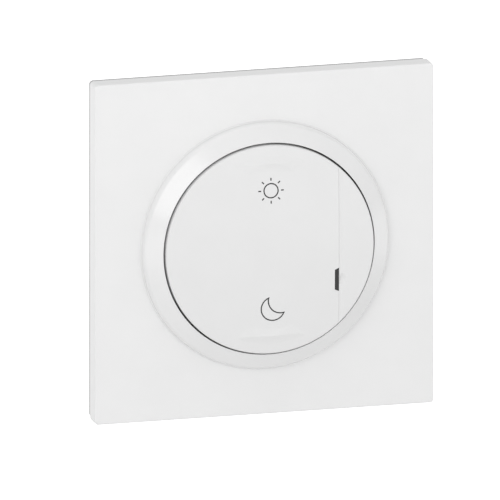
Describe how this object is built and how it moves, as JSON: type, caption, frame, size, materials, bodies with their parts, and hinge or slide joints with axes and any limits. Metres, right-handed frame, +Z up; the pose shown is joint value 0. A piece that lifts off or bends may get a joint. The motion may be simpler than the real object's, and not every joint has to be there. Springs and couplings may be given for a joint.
{
  "type": "rocker dimmer",
  "caption": "Wall dimmer with a square cover plate and a round rocker: pressing its top brightens the light and pressing its bottom dims it. It is screwed over a round wall box.",
  "frame": {"origin": "middle between the two wall screws, on the back face of the mounting frame, which lies on the wall", "axes": "+X to the right as the user sees it, +Y into the wall, +Z up"},
  "size_m": [0.08, 0.0398, 0.08],
  "materials": {
    "plate_white": "satin white thermoplastic, lightly textured",
    "ring_white": "polished white thermoplastic",
    "rocker_white": "white thermoplastic with a soft sheen",
    "symbol_ink": "grey pad-printed ink",
    "lens_smoke": "smoked translucent plastic",
    "subframe_grey": "moulded grey plastic",
    "frame_steel": "zinc-plated pressed steel",
    "chassis_grey": "moulded light grey plastic",
    "pin_steel": "ground steel pin",
    "plunger_natural": "natural acetal",
    "spring_steel": "spring steel wire",
    "switch_black": "black moulded switch with a steel cover",
    "board_green": "green solder mask on glass-fibre board",
    "chip_black": "black epoxy package",
    "led_body": "white package with phosphor lens",
    "guide_clear": "clear polished plastic light guide",
    "header_black": "black header with tinned pins",
    "spreader_aluminium": "bare aluminium",
    "core_coated": "coated iron powder core",
    "winding_copper": "enamelled copper wire",
    "film_blue": "blue moulded capacitor case",
    "can_sleeve": "sleeved aluminium can",
    "fuse_sleeve": "brown moulded fuse cap",
    "housing_grey": "moulded light grey plastic",
    "screw_steel": "zinc-plated screw",
    "block_grey": "dark grey moulded block",
    "bar_copper": "tinned copper bar",
    "leaf_steel": "stainless leaf spring",
    "release_tint": "orange acetal"
  },
  "bodies": {
    "base": {"cover_plate": "plate_white", "plate_subframe": "subframe_grey", "trim_ring": "ring_white", "mounting_frame": "frame_steel", "front_chassis": "chassis_grey", "pivot_pins": "pin_steel", "upper_spring": "spring_steel", "lower_spring": "spring_steel", "upper_switch": "switch_black", "lower_switch": "switch_black", "control_board": "board_green", "controller_chip": "chip_black", "status_led": "led_body", "light_guide": "guide_clear", "board_header": "header_black", "power_board": "board_green", "heat_spreader": "spreader_aluminium", "transistor_pair": "chip_black", "choke_core": "core_coated", "choke_winding": "winding_copper", "film_capacitor": "film_blue", "electrolytic_capacitor": "can_sleeve", "fuse": "fuse_sleeve", "rear_housing": "housing_grey", "housing_screws": "screw_steel", "terminal_block": "block_grey", "terminal_bars": "bar_copper", "terminal_springs": "leaf_steel"},
    "rocker": {"rocker": "rocker_white", "sun_symbol": "symbol_ink", "moon_symbol": "symbol_ink", "indicator_lens": "lens_smoke"},
    "upper_plunger": {"upper_plunger": "plunger_natural"},
    "lower_plunger": {"lower_plunger": "plunger_natural"},
    "left_release": {"left_release": "release_tint"},
    "middle_release": {"middle_release": "release_tint"},
    "right_release": {"right_release": "release_tint"}
  },
  "joints": [
    {"name": "rocker_tilt", "type": "hinge", "parent": "base", "child": "rocker", "pos_m": [0, -0.0056, 0], "axis": [-1, 0, 0], "range_deg": [-1.8, 1.8], "stiffness_Nm_per_rad": 0.6},
    {"name": "upper_plunger_press", "type": "slide", "parent": "base", "child": "upper_plunger", "axis": [0, 1, 0], "range_m": [-0.00048, 0.00048], "deforming": ["upper_spring"]},
    {"name": "lower_plunger_press", "type": "slide", "parent": "base", "child": "lower_plunger", "axis": [0, 1, 0], "range_m": [-0.00048, 0.00048], "deforming": ["lower_spring"]},
    {"name": "left_release_press", "type": "slide", "parent": "base", "child": "left_release", "axis": [0, -1, 0], "range_m": [0, 0.0012], "stiffness_N_per_m": 600, "springref_m": -0.0005, "deforming": ["terminal_springs"]},
    {"name": "middle_release_press", "type": "slide", "parent": "base", "child": "middle_release", "axis": [0, -1, 0], "range_m": [0, 0.0012], "stiffness_N_per_m": 600, "springref_m": -0.0005, "deforming": ["terminal_springs"]},
    {"name": "right_release_press", "type": "slide", "parent": "base", "child": "right_release", "axis": [0, -1, 0], "range_m": [0, 0.0012], "stiffness_N_per_m": 600, "springref_m": -0.0005, "deforming": ["terminal_springs"]}
  ],
  "couplings": [
    {"joint": "upper_plunger_press", "follows": "rocker_tilt", "m_per_rad": 0.015},
    {"joint": "lower_plunger_press", "follows": "rocker_tilt", "m_per_rad": -0.015}
  ]
}
